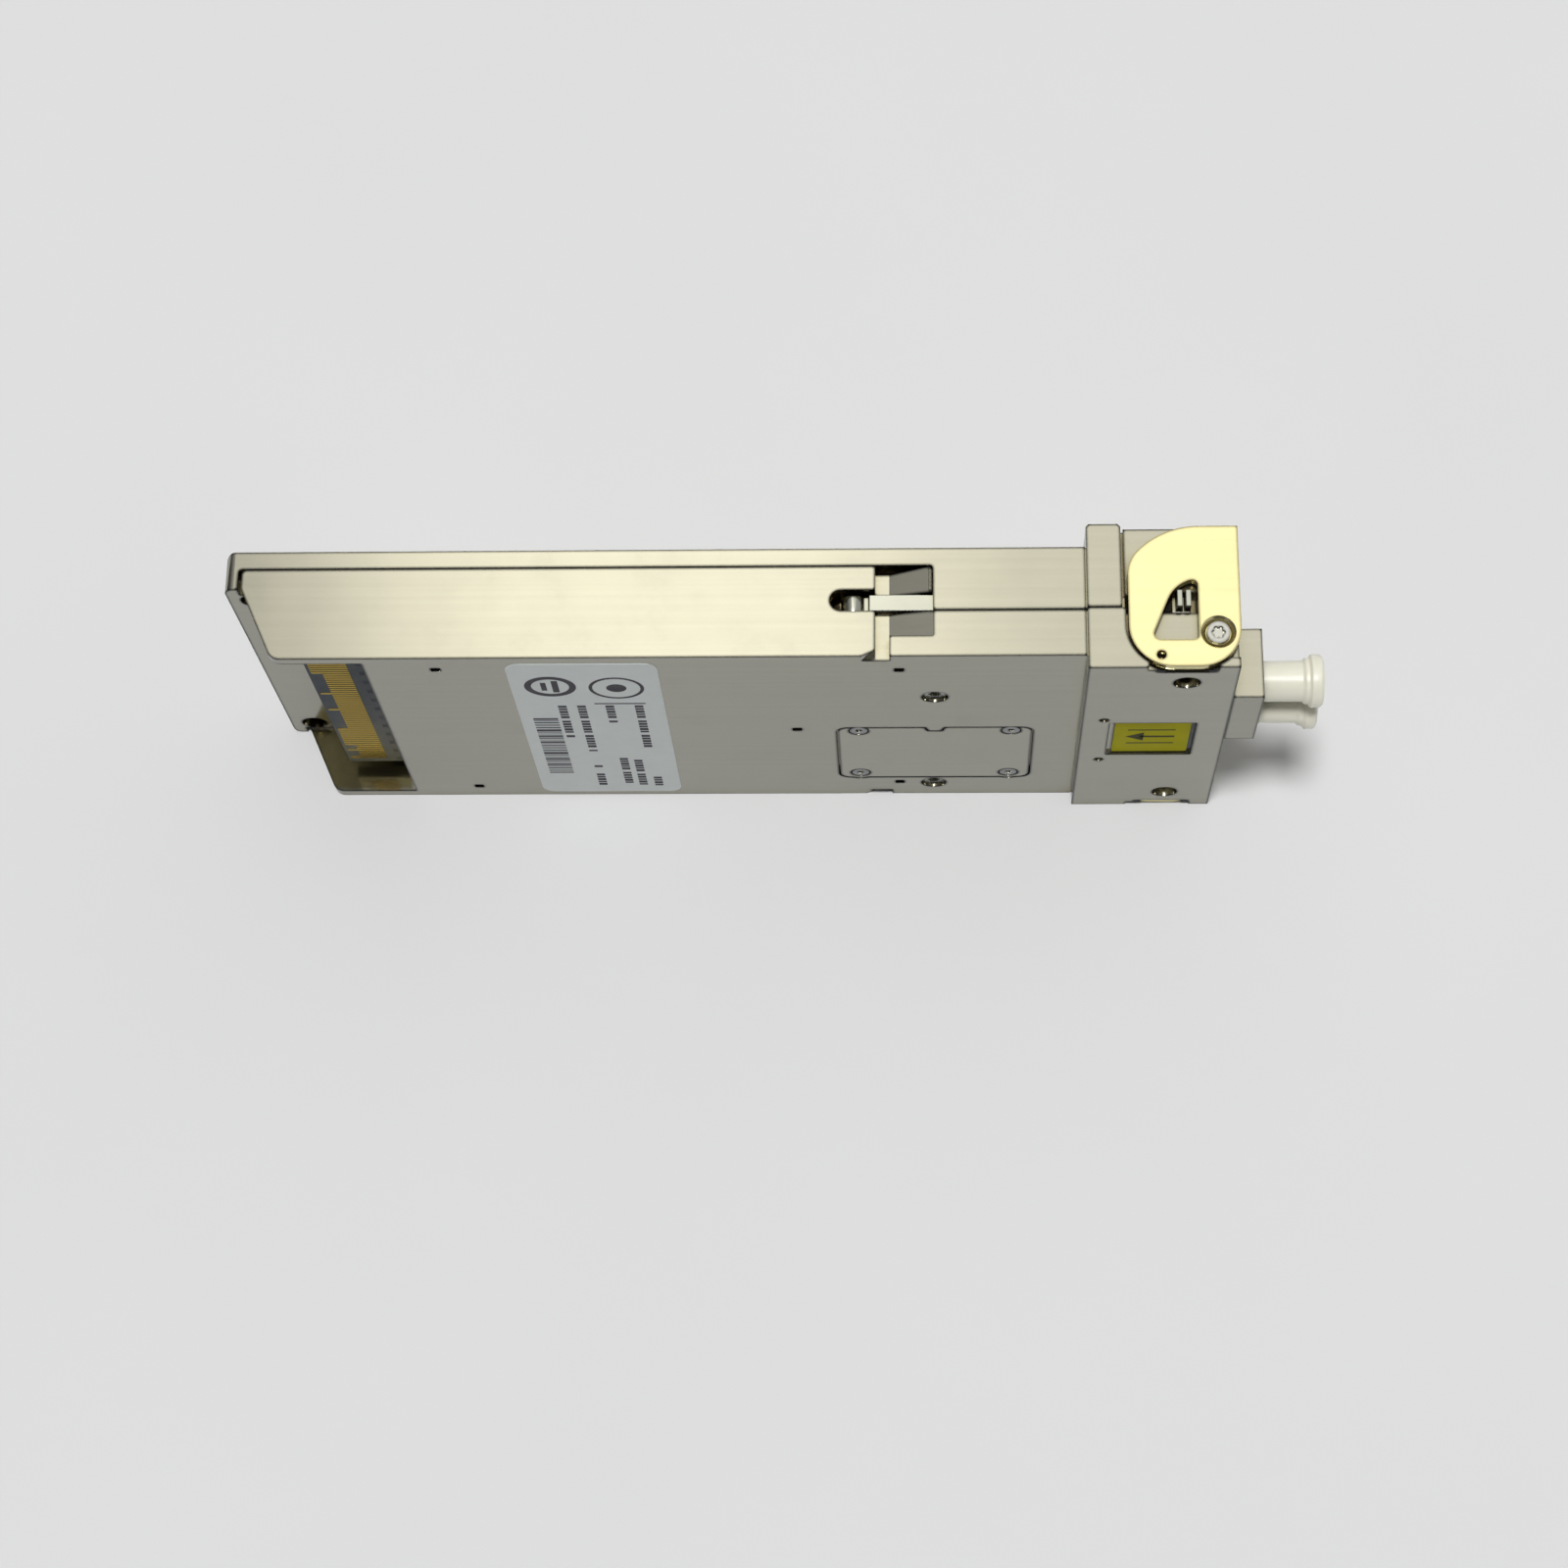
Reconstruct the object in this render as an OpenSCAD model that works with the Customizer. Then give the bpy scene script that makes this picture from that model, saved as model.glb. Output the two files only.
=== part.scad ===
// Pluggable coherent optical transceiver module with a pull bail.
// It stands on one long narrow side: X runs from the edge connector to the optical ports, Y from the
// label face (low) to the heat-sink face (high), and Z across the module's width. Millimetres.
// Places along X are measured from the module's rear end, and Y from the middle of its body.

/* [Housing] */
// Width of the module, which stands upright along Z
body_w = 41.5; // [41.4:0.1:42]
// Length of the housing, from the rear foot to the front face
body_len = 107.5; // [107.2:0.1:108]
// Thickness of the body between the label face and the heat-sink face
body_t = 12.4; // [12.3:0.05:12.6]
// Wall of the bottom shell along the connector bay
side_wall = 1.35; // [1.2:0.05:1.5]
// Thickness of the bottom shell's label plate
label_plate_t = 1.2; // [1:0.05:1.3]
// Thickness of the heat-sink plate
sink_plate_t = 2.1; // [1.9:0.1:2.3]
// How far the nose stands out past the label face
nose_drop = 1.45; // [1.3:0.05:1.6]
// How far the flange stands up past the heat-sink face
nose_rise = 2.64; // [2.5:0.02:2.8]
// Depth of the connector bay, from the rear end to the label plate
bay_len = 15.05; // [14.8:0.05:15.4]

/* [Latch] */
// Depth of the latch channel in each side face
channel_d = 1.28; // [1.1:0.02:1.4]
// Width of the slider strips
slider_w = 1.85; // [1.6:0.05:1.95]
// Thickness of the slider strips
slider_t = 0.8; // [0.6:0.05:0.9]
// Travel of the sliders as the bail opens
slider_stroke = 1.5; // [1.5:0.1:1.8]

/* [Bail] */
// Thickness of the bail's side plates
bail_t = 1; // [0.9:0.05:1.05]
// Radius of the pivot screws' shoulders
pivot_r = 1; // [0.9:0.05:1.1]
// Running clearance round the shoulders
pivot_fit = 0.05; // [0.03:0.01:0.08]

/* [Optical ports] */
// Distance between the two ports
port_pitch = 6.25; // [6.25:0.05:6.4]
// Radius of a ferrule
ferrule_r = 0.625; // [0.62:0.005:0.63]
// Radius of a dust plug's barrel
plug_r = 2.2; // [2.1:0.05:2.2]
// Radius of a dust plug's end flange
plug_flange_r = 2.875; // [2.7:0.025:3]
// Length of a dust plug outside its port
plug_out = 6.5; // [6:0.1:7]

/* [Edge connector] */
// Number of contacts on each face of the board
contact_n = 52; // [40:4:52]
// Distance from contact to contact
contact_pitch = 0.6; // [0.5:0.05:0.62]
// Thickness of the circuit board
board_t = 1.3; // [1.2:0.05:1.4]

/* [Hidden] */
$fn = 48;

nickel = [0.82, 0.80, 0.72];
gold_plate = [0.93, 0.86, 0.62];
screw_steel = [0.72, 0.72, 0.72];
board_green = [0.16, 0.22, 0.24];
contact_gold = [0.80, 0.64, 0.28];
chip_black = [0.12, 0.12, 0.13];
pad_grey = [0.55, 0.60, 0.66];
plug_white = [0.94, 0.94, 0.88];

gap = 0.12;            // shadow gap along the seams between the shells
eps = 0.05;            // cutters pass a face by this much
mid_z = body_w / 2;
label_y = -body_t / 2;
sink_y = body_t / 2;
label_in = label_y + label_plate_t;
sink_in = sink_y - sink_plate_t;
nose_label_y = label_y - nose_drop;
nose_sink_y = sink_y + nose_rise;
plate_in_y = sink_in + gap;   // inner face of the heat-sink plate

// Rear foot and the ledge behind the connector
foot_t = 1.5;
ledge_y = 1.84;
ledge_x = 14;
foot_r = 1;
guide_x = 2.8;
guide_z = 2.9;
guide_r = 1.45;
guide_d = 3.5;
end_r = 1.1;           // rounding of the foot's two ends

// Seams: beside the connector half, and from the latch pocket forward
seam_y = sink_in;
seam2_y = -0.9;
nose_seam_y = -0.65;

// Latch pocket in each side face
pocket_x = 69.4;
channel_x = 70.9;
pocket_end = 75.5;
pocket_y = -3.85;
pocket_far_y = 3.65;
far_d = 2.6;           // depth of the pocket's corner beside the heat-sink plate
ramp_high = 0.2;
ramp_end = 75.05;      // front end of the floor on the heat-sink side of the slider
slot_x = 64.6;
slot_y = 0.22;
slot_r = 1.21;
slot_d = 3.7;
block_x = 62;
block_z = 4.5;
front_block_x = 77;
front_block_z = 3.2;

// Flange and nose
flange_x = 91.7;
nose_x = 95.35;
groove_w = 0.14;       // groove behind the flange, in the side faces
groove_d = 0.25;
nose_groove_w = 0.35;  // groove between the flange and the nose
nose_groove_d = 0.8;
nose_wall = 5.8;
cavity_x = 95.3;
front_t = 1.6;
front_x = body_len - front_t;
cheek_d = 1.4;         // recess for the bail's side plates
bar_x = 106.1;
bar_y = 4;
lip_x = 103.1;
lip_y = 7.2;

// Bail
pivot = [105.3, -3.6];
plate_out = 0.05;      // the plates sit this far inside the side faces
plate_gap = 0.3;
plate_top = 8.58;
plate_front = 107.7;
plate_heel = [103.35, -3.1];
plate_heel_r = 4.35;
plate_toe = [100.65, -2.8];
plate_toe_r = 4.65;
plate_back = [100, 3.05];
plate_back_r = 4;
plate_crown = [103.6, -0.42];
plate_crown_r = 9;
plate_hole = [99.3, -6.15];
plate_hole_r = 0.5;
window_back = [103.66, -1.28];
window_back_r = 3.8;
window_top = [102.7, 1.77];
window_top_r = 0.6;
window_front = [102.75, -3.88];
window_front_r = 0.55;
window_low = [99.29, -3.73];
window_low_r = 0.7;
window_slant = 22.5;   // how far the window's rear edge leans, in degrees
bar_in_x = 106.5;
bar_low_y = 4.6;
lip_in_y = 7.5;
lip_rear_x = 103.6;
head_r = 1.25;
head_floor_r = 1.35;
head_sink_r = 1.85;
head_t = 0.4;
thread_r = 0.7;

// Sliders: depth below the side face, before and after the joggle
slider_y = -0.8;
slider_d1 = 0.5;
slider_d2 = 1.6;
slider_x = 68.75;
joggle_x = 86;
joggle_len = 2.4;
slide_fit = 0.12;
curl_x = 67.1;
curl_r = 1.35;
curl_d = 1.95;
web_len = 0.9;         // where the strip dips into the curl
web_d = 1.15;
tab_x = 101.1;
tab_len = 1.5;
lug_len = 0.6;
tab_y = -0.6;
tab_top_y = 1.3;
tab_d = 0.15;

// Optical ports
port_y = nose_label_y + 3.05;
port_mid_z = 27;
port_zs = [port_mid_z - port_pitch / 2, port_mid_z + port_pitch / 2];
block_face_x = 110.8;
block_y = [nose_label_y, 0.3];
block_half = 6.1;
neck_y = [nose_label_y + 0.65, -0.2];
neck_half = 5.9;
rear_x = 98.3;
clip_d = 0.25;
port_back_x = 103.5;
port_half = 2.3;
latch_half = 1.9;
stem_r = 1.45;
sleeve_r = 0.8;
sleeve_in_r = 0.64;
plug_in_x = 104.2;
plug_bore_r = 1.6;
plug_end_x = block_face_x + plug_out;
plug_flange_t = 1.5;

// Circuit board
board_y = -3.5;
board_rear_x = 7.5;
board_wide_x = 16;
board_front_x = 61.4;
board_in = 4.1;
board_edge = 1.9;
board_top_y = board_y + board_t;
board_screw_places = [[18, 4], [18, 37.5], [58.5, 4], [58.5, 37.5]];
contact_x = 7.9;
contact_short_x = 9.1;
contact_end_x = 12.1;
contact_w = 0.38;
contact_t = 0.04;

// Fasteners in the label face: [x, z]
shell_screw_places = [[75.7, 30], [75.7, 3.6]];
nose_screw_places = [[102.2, 37.27], [102.2, 4.15]];
screw_head_r = 1.42;
shell_head_d = 0.55;
shell_head_gap = 0.35;
nose_head_d = 2.6;
shank_r = 0.75;
hole_r = 0.82;

// Access cover
cover_x = [65, 86.5];
cover_z = [5.5, 20.9];
cover_t = 0.55;
cover_gap = 0.18;
cover_window_x = [69.5, 82];
cover_window_z = [8.5, 18.5];
cover_screw_places = [[67.3, 20], [84.2, 20], [67.3, 6.9], [84.2, 6.9]];
cover_head_r = 1;
cover_notch = [74.5, 77, 1.05];

// Small pits in the label face, and index holes in the nose
pit_places = [[22.7, 38.4], [22.7, 2.9], [60.5, 20.6], [71.9, 37.7], [71.8, 3.9]];
index_places = [[94.1, 26.6], [94.1, 14.7]];

// Labels: [x, z] of the low and high corners
label_x = [30.1, 46.3];
label_z = [1.2, 39.9];
label_t = 0.08;
nose_pocket_x = [94.8, 104.2];
nose_pocket_z = [16.2, 25.7];
nose_pocket_d = 0.35;

// Parts inside
processor_mid = [36, mid_z];
processor_base_w = 20;
processor_lid_w = 15;
base_t = 1;
lid_t = 1.8;
pad_t = 0.5;
optics_x = [46.5, 60];
optics_z = [21, 35.6];
optics_t = 5.1;
laser_x = [66, 86];
laser_z = [6.6, 19.4];
laser_y = [-3, 3.5];
tray_mid = [75.7, 30];
tray_hub_r = 5.1;
tray_r = 6.9;
fibre_r = 0.45;
coil_r = 5.8;
fibre_rise = 1;
coil_steps = 15;

// Fibre routes, from the optics package to the ports and from the laser to the optics package
transmit_start = [
  [60, 0, 31], [61.5, 0, 31], [64, -0.7, 32.3], [66, -1.5, 33.9], [68, -2.4, 35],
  [70, -3.1, 35.6], [72, -3.6, 35.8], [74, -3.8, 35.8]
];
transmit_end = [
  [78, -2.8, 35.8], [80.5, -2.8, 35.5], [83, -2.9, 34.8], [85.5, -3.2, 33.7], [88, -3.5, 32.4],
  [90.5, -3.9, 31.2], [93, -4.1, 30.4], [94.6, -4.3, 30.2],
  [96.2, port_y, port_zs[1]], [97, port_y, port_zs[1]]
];
receive_start = [
  [60, 0, 27], [61.5, 0, 27], [64, -0.4, 26], [66, -0.8, 24.9], [68, -1.2, 24.4],
  [70, -1.5, 24.2], [72, -1.7, 24.2], [74, -1.8, 24.2]
];
receive_end = [
  [78, -0.8, 24.2], [80.5, -0.9, 24.2], [83, -1.3, 24.1], [85.5, -1.9, 24], [88, -2.6, 23.9],
  [90.5, -3.3, 23.9], [93, -4.1, 23.9], [94.6, -4.3, 23.9],
  [96.2, port_y, port_zs[0]], [97, port_y, port_zs[0]]
];
laser_route = [
  [86, 0.8, 13], [87.3, 0.8, 13], [89.1, 0.9, 14.3], [90, 1, 16.2], [90, 1.1, 18.2],
  [89.2, 1.2, 20.2], [87.4, 1.3, 21.5], [85, 1.3, 21.9], [82, 1.3, 22], [78.5, 1.3, 22],
  [75, 1.2, 22], [71.5, 1.1, 22.1], [68, 0.9, 22.4], [65, 0.5, 22.8], [61.5, 0, 23], [60, 0, 23]
];

// The whole model's box, which the origin is the bottom centre of
centre_x = plug_end_x / 2;
centre_y = (nose_label_y + nose_sink_y) / 2;

// ---------- helpers ----------

// Everything is drawn from the rear end and the body's middle, then moved to the origin
module place() {
  translate([-centre_x, -centre_y, 0]) children();
}

// A box between pairs of low and high places
module box(x, y, z) {
  translate([x[0], y[0], z[0]]) cube([x[1] - x[0], y[1] - y[0], z[1] - z[0]]);
}

// An outline in X and Y, made solid across Z
module across(z) {
  translate([0, 0, z[0]]) linear_extrude(z[1] - z[0]) children();
}

// An outline in X and Z, made solid across Y
module through(y) {
  translate([0, y[1], 0]) rotate([90, 0, 0]) linear_extrude(y[1] - y[0]) children();
}

// A round bar along Y at [x, z]
module bar_y(at, r, y) {
  translate([at[0], y[1], at[1]]) rotate([90, 0, 0]) cylinder(r = r, h = y[1] - y[0]);
}

// A round bar along X at [y, z]
module bar_x(at, r, x) {
  translate([x[0], at[0], at[1]]) rotate([0, 90, 0]) cylinder(r = r, h = x[1] - x[0]);
}

// The same thing seen from the upper side face, where Z is counted down
module upper_side() {
  translate([0, 0, body_w]) mirror([0, 0, 1]) children();
}

module both_sides() {
  children();
  upper_side() children();
}

// Points of an arc from angle a0 to angle a1
function arc(c, r, a0, a1, n = 10) =
  [for (i = [0:n]) let (a = a0 + (a1 - a0) * i / n) [c[0] + r * cos(a), c[1] + r * sin(a)]];

// A rectangle with round corners
module soft_rect(x, z, r) {
  polygon(concat(
    arc([x[1] - r, z[1] - r], r, 90, 0, 6), arc([x[1] - r, z[0] + r], r, 0, -90, 6),
    arc([x[0] + r, z[0] + r], r, -90, -180, 6), arc([x[0] + r, z[1] - r], r, 180, 90, 6)
  ));
}

// Six-lobed driver recess, drawn in its own plane
module star(r) {
  union() {
    circle(r = r * 0.72);
    for (a = [0:60:300]) rotate(a) translate([r * 0.72, 0]) circle(r = r * 0.28, $fn = 16);
  }
}

// ---------- shapes shared by several pieces ----------

// Outline of the bail's side plate, grown by a margin
module plate_outline(m = 0) {
  polygon(concat(
    [[plate_front + m, plate_top + m]],
    arc(plate_heel, plate_heel_r + m, 0, -90, 16),
    arc(plate_toe, plate_toe_r + m, -90, -180, 16),
    arc(plate_back, plate_back_r + m, 180, 136, 8),
    arc(plate_crown, plate_crown_r + m, 136, 90, 12)
  ));
}

// The window that the slider's tab travels in
module plate_window() {
  polygon(concat(
    arc(window_back, window_back_r, 180 - window_slant, 107.5, 10),
    arc(window_top, window_top_r, 107.5, 0, 8),
    arc(window_front, window_front_r, 0, -90, 6),
    arc(window_low, window_low_r, -90, -180 - window_slant, 8)
  ));
}

// Side view of a slider strip, as X and depth below the side face, grown by a fit and a run forward
module slider_outline(fit = 0, run = 0) {
  d1 = slider_d1 - fit;
  d2 = slider_d2 - fit;
  t = slider_t + 2 * fit;
  polygon([
    [slider_x - fit, d1], [joggle_x + fit + run, d1], [joggle_x + joggle_len + fit + run, d2],
    [tab_x + tab_len + fit + run, d2], [tab_x + tab_len + fit + run, d2 + t],
    [joggle_x + joggle_len - fit, d2 + t], [joggle_x - fit, d1 + t], [slider_x - fit, d1 + t]
  ]);
}

// Free space for one slider in the lower side
module slider_space() {
  y = [slider_y - slide_fit, slider_y + slider_w + slide_fit];
  union() {
    through(y) slider_outline(slide_fit, slider_stroke);
    box([pocket_x, pocket_end - gap], y, [-eps, slider_d1 + slider_t + slide_fit]);
    box([slot_x + slot_r, pocket_x + eps], [slot_y - slot_r, slot_y + slot_r], [-eps, slot_d]);
    box([pocket_x, slider_x + web_len + slider_stroke + 0.2], y, [-eps, slot_d]);
    translate([slot_x + slot_r, slot_y, -eps]) cylinder(r = slot_r, h = slot_d + eps);
    box([tab_x - 0.4, tab_x + tab_len + slider_stroke + 0.3], [slider_y - slide_fit, tab_top_y + 0.2],
        [cheek_d - eps, slider_d2 + slider_t + slide_fit]);
  }
}

// Side view of a pocket floor that rises forward to the part's skin
module ramp(end) {
  polygon([[channel_x - eps, -eps], [end, -eps], [end, ramp_high], [channel_x - eps, channel_d]]);
}

// The pocket that a host's latch tongue drops into, in the lower side
module latch_pocket() {
  union() {
    box([pocket_x, channel_x], [label_y - eps, seam_y + eps], [-eps, channel_d]);
    across([-eps, far_d]) polygon([
      [pocket_x, pocket_far_y], [channel_x, pocket_far_y], [ramp_end, seam_y + eps],
      [pocket_x, seam_y + eps]
    ]);
    through([slider_y, seam_y]) ramp(ramp_end);
    through([pocket_y, slider_y + eps]) ramp(pocket_end + eps);
    across([-eps, channel_d]) polygon([
      [67.8, label_y - eps], [pocket_x + eps, label_y - eps], [pocket_x + eps, -5.5]
    ]);
  }
}

// ---------- housing ----------

// Side view of the top shell
module top_outline() {
  polygon(concat(
    [[0, ledge_y]], arc([foot_r, sink_y - foot_r], foot_r, 180, 90, 8),
    [[flange_x + 1, sink_y], [flange_x + 1, nose_seam_y], [flange_x, nose_seam_y], [flange_x, seam2_y]],
    arc([pocket_end + 0.3, seam2_y + 0.3], 0.3, -90, -180, 5),
    arc([pocket_end - 0.3, seam_y - 0.3 + gap], 0.3, 0, 90, 5),
    arc([foot_t + 0.4, seam_y - 0.4 + gap], 0.4, 90, 180, 5),
    [[foot_t, ledge_y]]
  ));
}

module top_nose() {
  across([cheek_d, body_w - cheek_d]) polygon([
    [nose_x - 1, nose_seam_y], [body_len, nose_seam_y], [body_len, bar_y], [bar_x, bar_y],
    [bar_x, lip_y], [lip_x, lip_y], [lip_x, nose_sink_y - 0.3], [lip_x - 0.3, nose_sink_y],
    [nose_x - 1, nose_sink_y]
  ]);
}

// Material that stays round the lower shell screw, where the two shells meet
module screw_land(grow = 0) {
  box([74.3 - grow, 78], [seam2_y - grow, seam_y + eps], [2.7 - grow, 5 + grow]);
}

// Groove behind the flange, in the lower side
module flange_groove() {
  box([flange_x - groove_w, flange_x], [label_y - eps, sink_y], [-eps, groove_d]);
}

// Groove between the flange and the nose, in the lower side
module nose_groove() {
  box([nose_x, nose_x + nose_groove_w], [nose_seam_y - eps, nose_sink_y + eps],
      [-eps, cheek_d + nose_groove_d]);
}

// Rounds the rear end where it meets the lower side
module end_round() {
  difference() {
    box([-eps, end_r], [ledge_y - 1, sink_y + eps], [-eps, end_r]);
    bar_y([end_r, end_r], end_r, [ledge_y - 2, sink_y + 1]);
  }
}

module top_shell() place() color(nickel) difference() {
  union() {
    difference() {
      union() {
        across([0, body_w]) top_outline();
        box([foot_t - eps, ledge_x], [ledge_y, seam_y + 0.5], [side_wall + gap, body_w - side_wall - gap]);
      }
      box([pocket_end - 0.5, flange_x + 0.4], [seam2_y - eps, plate_in_y],
          [front_block_z, body_w - front_block_z]);
      box([flange_x - 0.9, flange_x + 2], [seam2_y - eps, seam_y + 1], [nose_wall, body_w - nose_wall]);
    }
    difference() {
      union() {
        across([0, body_w]) polygon([
          [flange_x, nose_seam_y], [nose_x, nose_seam_y], [nose_x, nose_sink_y - 0.3],
          [nose_x - 0.3, nose_sink_y], [flange_x + 0.3, nose_sink_y], [flange_x, nose_sink_y - 0.3]
        ]);
        top_nose();
      }
      box([flange_x - eps, front_x], [nose_seam_y - eps, seam_y + 1], [nose_wall, body_w - nose_wall]);
      box([cavity_x, lip_x - 1.4], [seam_y + 1 - eps, 6.6], [nose_wall, body_w - nose_wall]);
      box([front_x - eps, body_len + eps], [nose_seam_y - eps, neck_y[1] + gap],
          [port_mid_z - neck_half - gap, port_mid_z + neck_half + gap]);
    }
    screw_land();
    bar_y(shell_screw_places[0], 2, [1, plate_in_y + eps]);
    for (p = board_screw_places) bar_y(p, 1.6, [board_top_y, plate_in_y + eps]);
    box([processor_mid[0] - 8, processor_mid[0] + 8],
        [board_top_y + base_t + lid_t + pad_t, plate_in_y + eps], [mid_z - 8, mid_z + 8]);
  }
  both_sides() {
    slider_space();
    flange_groove();
    nose_groove();
    end_round();
    bar_y([guide_x, guide_z], guide_r, [ledge_y - eps, ledge_y + guide_d]);
  }
  for (p = board_screw_places) bar_y(p, hole_r, [board_top_y - eps, board_top_y + 4]);
  for (p = shell_screw_places) bar_y(p, hole_r, [seam2_y - eps, 5.2]);
  for (p = nose_screw_places) bar_y(p, hole_r, [nose_seam_y - eps, 5.2]);
}

// Side view of the bottom shell's rear part and of its front part
module bottom_rear_outline() {
  polygon(concat(
    [[1.9, seam_y - 0.3], [2.2, seam_y], [pocket_end - gap - 0.3, seam_y]],
    [[pocket_end - gap, seam_y - 0.3], [pocket_end - gap, label_y]],
    arc([6.5, label_y + 1.4], 1.4, -90, -155, 6),
    [[2, 1.73], [1.9, 2]]
  ));
}

module bottom_rear() {
  difference() {
    across([0, body_w]) bottom_rear_outline();
    box([0, block_x], [label_in, seam_y + eps], [side_wall, body_w - side_wall]);
    box([0, bay_len], [label_y - eps, label_in + eps], [side_wall, body_w - side_wall]);
    box([block_x - eps, pocket_end], [label_in, seam_y + eps], [block_z, body_w - block_z]);
    screw_land(gap);
  }
}

module bottom_front() {
  difference() {
    union() {
      box([pocket_end - gap - eps, flange_x + eps], [label_y, seam2_y - gap], [0, body_w]);
      box([flange_x, nose_x], [nose_label_y, nose_seam_y - gap], [0, body_w]);
      box([nose_x - eps, body_len], [nose_label_y, nose_seam_y - gap], [0, body_w]);
    }
    box([pocket_end - 0.2, front_block_x], [label_in, seam2_y], [block_z, body_w - block_z]);
    box([front_block_x - eps, flange_x - 0.9], [label_in, seam2_y], [front_block_z, body_w - front_block_z]);
    box([flange_x - 1, cavity_x], [label_in, nose_seam_y], [nose_wall, body_w - nose_wall]);
    box([cavity_x - eps, front_x], [nose_label_y + 0.6, nose_seam_y], [nose_wall, body_w - nose_wall]);
    box([front_x - eps, body_len + eps], [neck_y[0] - gap, nose_seam_y],
        [port_mid_z - neck_half - gap, port_mid_z + neck_half + gap]);
    both_sides() bottom_cheek();
    translate([0, nose_label_y, 0]) nose_label_pocket();
  }
}

// Recess for a bail plate, and the notch where it runs out through the nose's label face
module bottom_cheek() {
  across([-eps, cheek_d]) plate_outline(plate_gap);
  box([plate_front - 1, body_len + 1], [-6.5, 0], [-eps, cheek_d]);
  across([-eps, 0.85]) polygon([
    [97.9, nose_label_y - eps], [105.3, nose_label_y - eps], [104.9, -6], [98.3, -6]
  ]);
}

module nose_label_pocket() {
  box(nose_pocket_x, [-eps, nose_pocket_d], nose_pocket_z);
}

module bottom_shell() place() color(nickel) difference() {
  union() {
    bottom_rear();
    bottom_front();
    bar_y(shell_screw_places[0], 2.2, [label_in - eps, 1]);
    for (p = cover_screw_places) bar_y(p, 1.3, [label_in - eps, label_in + 1]);
  }
  both_sides() {
    slider_space();
    latch_pocket();
    flange_groove();
    pivot_hole();
  }
  cover_block([label_y - eps, label_y + cover_t + 0.05], cover_gap);
  box(cover_window_x, [label_y - eps, label_in + eps], cover_window_z);
  for (p = cover_screw_places) bar_y(p, 0.55, [label_y, label_in + 0.8]);
  for (p = shell_screw_places) {
    bar_y(p, hole_r, [label_y, seam_y + eps]);
    bar_y(p, screw_head_r, [label_y - eps, label_y + shell_head_d + shell_head_gap]);
  }
  for (p = nose_screw_places) {
    bar_y(p, hole_r, [nose_label_y, seam_y]);
    bar_y(p, screw_head_r, [nose_label_y - eps, nose_label_y + nose_head_d]);
  }
  for (p = pit_places) translate([p[0], label_y, p[1]]) cube([1, 1.6, 0.85], center = true);
  for (p = index_places) bar_y(p, 0.5, [nose_label_y - eps, nose_label_y + 2]);
}

// Threaded hole for a pivot screw, in the lower side
module pivot_hole() {
  translate([pivot[0], pivot[1], 0]) cylinder(r = thread_r + 0.04, h = nose_wall - 0.6);
}

// ---------- access cover, screws and labels ----------

// The cover with its two lobes and its notch, grown by a margin
module cover_block(y, m = 0) {
  difference() {
    union() {
      through(y) soft_rect([cover_x[0] - m, cover_x[1] + m], [cover_z[0] - m, cover_z[1] + m], 1.2 + m);
      for (i = [2, 3]) bar_y(cover_screw_places[i], 1.65 + m, y);
    }
    through([y[0] - eps, y[1] + eps]) polygon([
      [cover_notch[0] + m, cover_z[1] + 0.3], [cover_notch[0] + 0.4 + m, cover_z[1] - cover_notch[2] + m],
      [cover_notch[1] - 0.4 - m, cover_z[1] - cover_notch[2] + m], [cover_notch[1] - m, cover_z[1] + 0.3]
    ]);
  }
}

module access_cover() place() color(nickel) difference() {
  cover_block([label_y, label_y + cover_t]);
  for (p = cover_screw_places) {
    bar_y(p, cover_head_r + 0.14, [label_y - eps, label_y + 0.33]);
    bar_y(p, 0.6, [label_y - eps, label_y + cover_t + eps]);
  }
}

// A screw along Y whose head faces the label side, with its top at y
module driven_screw(at, y, r, head, shank, length, socket) {
  difference() {
    union() {
      bar_y(at, r, [y, y + head]);
      bar_y(at, shank, [y + head - eps, y + length]);
    }
    translate([at[0], y + head * 0.65, at[1]]) rotate([90, 0, 0]) linear_extrude(head) star(socket);
  }
}

module access_cover_screws() place() color(screw_steel) {
  for (p = cover_screw_places) driven_screw(p, label_y + 0.02, cover_head_r, 0.3, 0.5, 1.7, 0.45);
}

module shell_screws() place() color(screw_steel) {
  for (p = shell_screw_places)
    driven_screw(p, label_y + shell_head_gap, screw_head_r - 0.1, shell_head_d, shank_r, 10.8, 0.7);
}

module nose_screws() place() color(screw_steel) {
  for (p = nose_screw_places)
    driven_screw(p, nose_label_y + nose_head_d - 1, screw_head_r - 0.1, 1, shank_r, 10.6, 0.7);
}

module main_label() place() color("whitesmoke") {
  through([label_y - label_t, label_y]) soft_rect(label_x, label_z, 1.5);
}

module nose_label() place() color("olive") {
  y = nose_label_y + nose_pocket_d;
  through([y - label_t, y]) soft_rect([nose_pocket_x[0] + 0.6, nose_pocket_x[1] - 0.5],
                                      [nose_pocket_z[0] + 0.35, nose_pocket_z[1] - 0.35], 0.3);
}

// ---------- latch ----------

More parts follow.
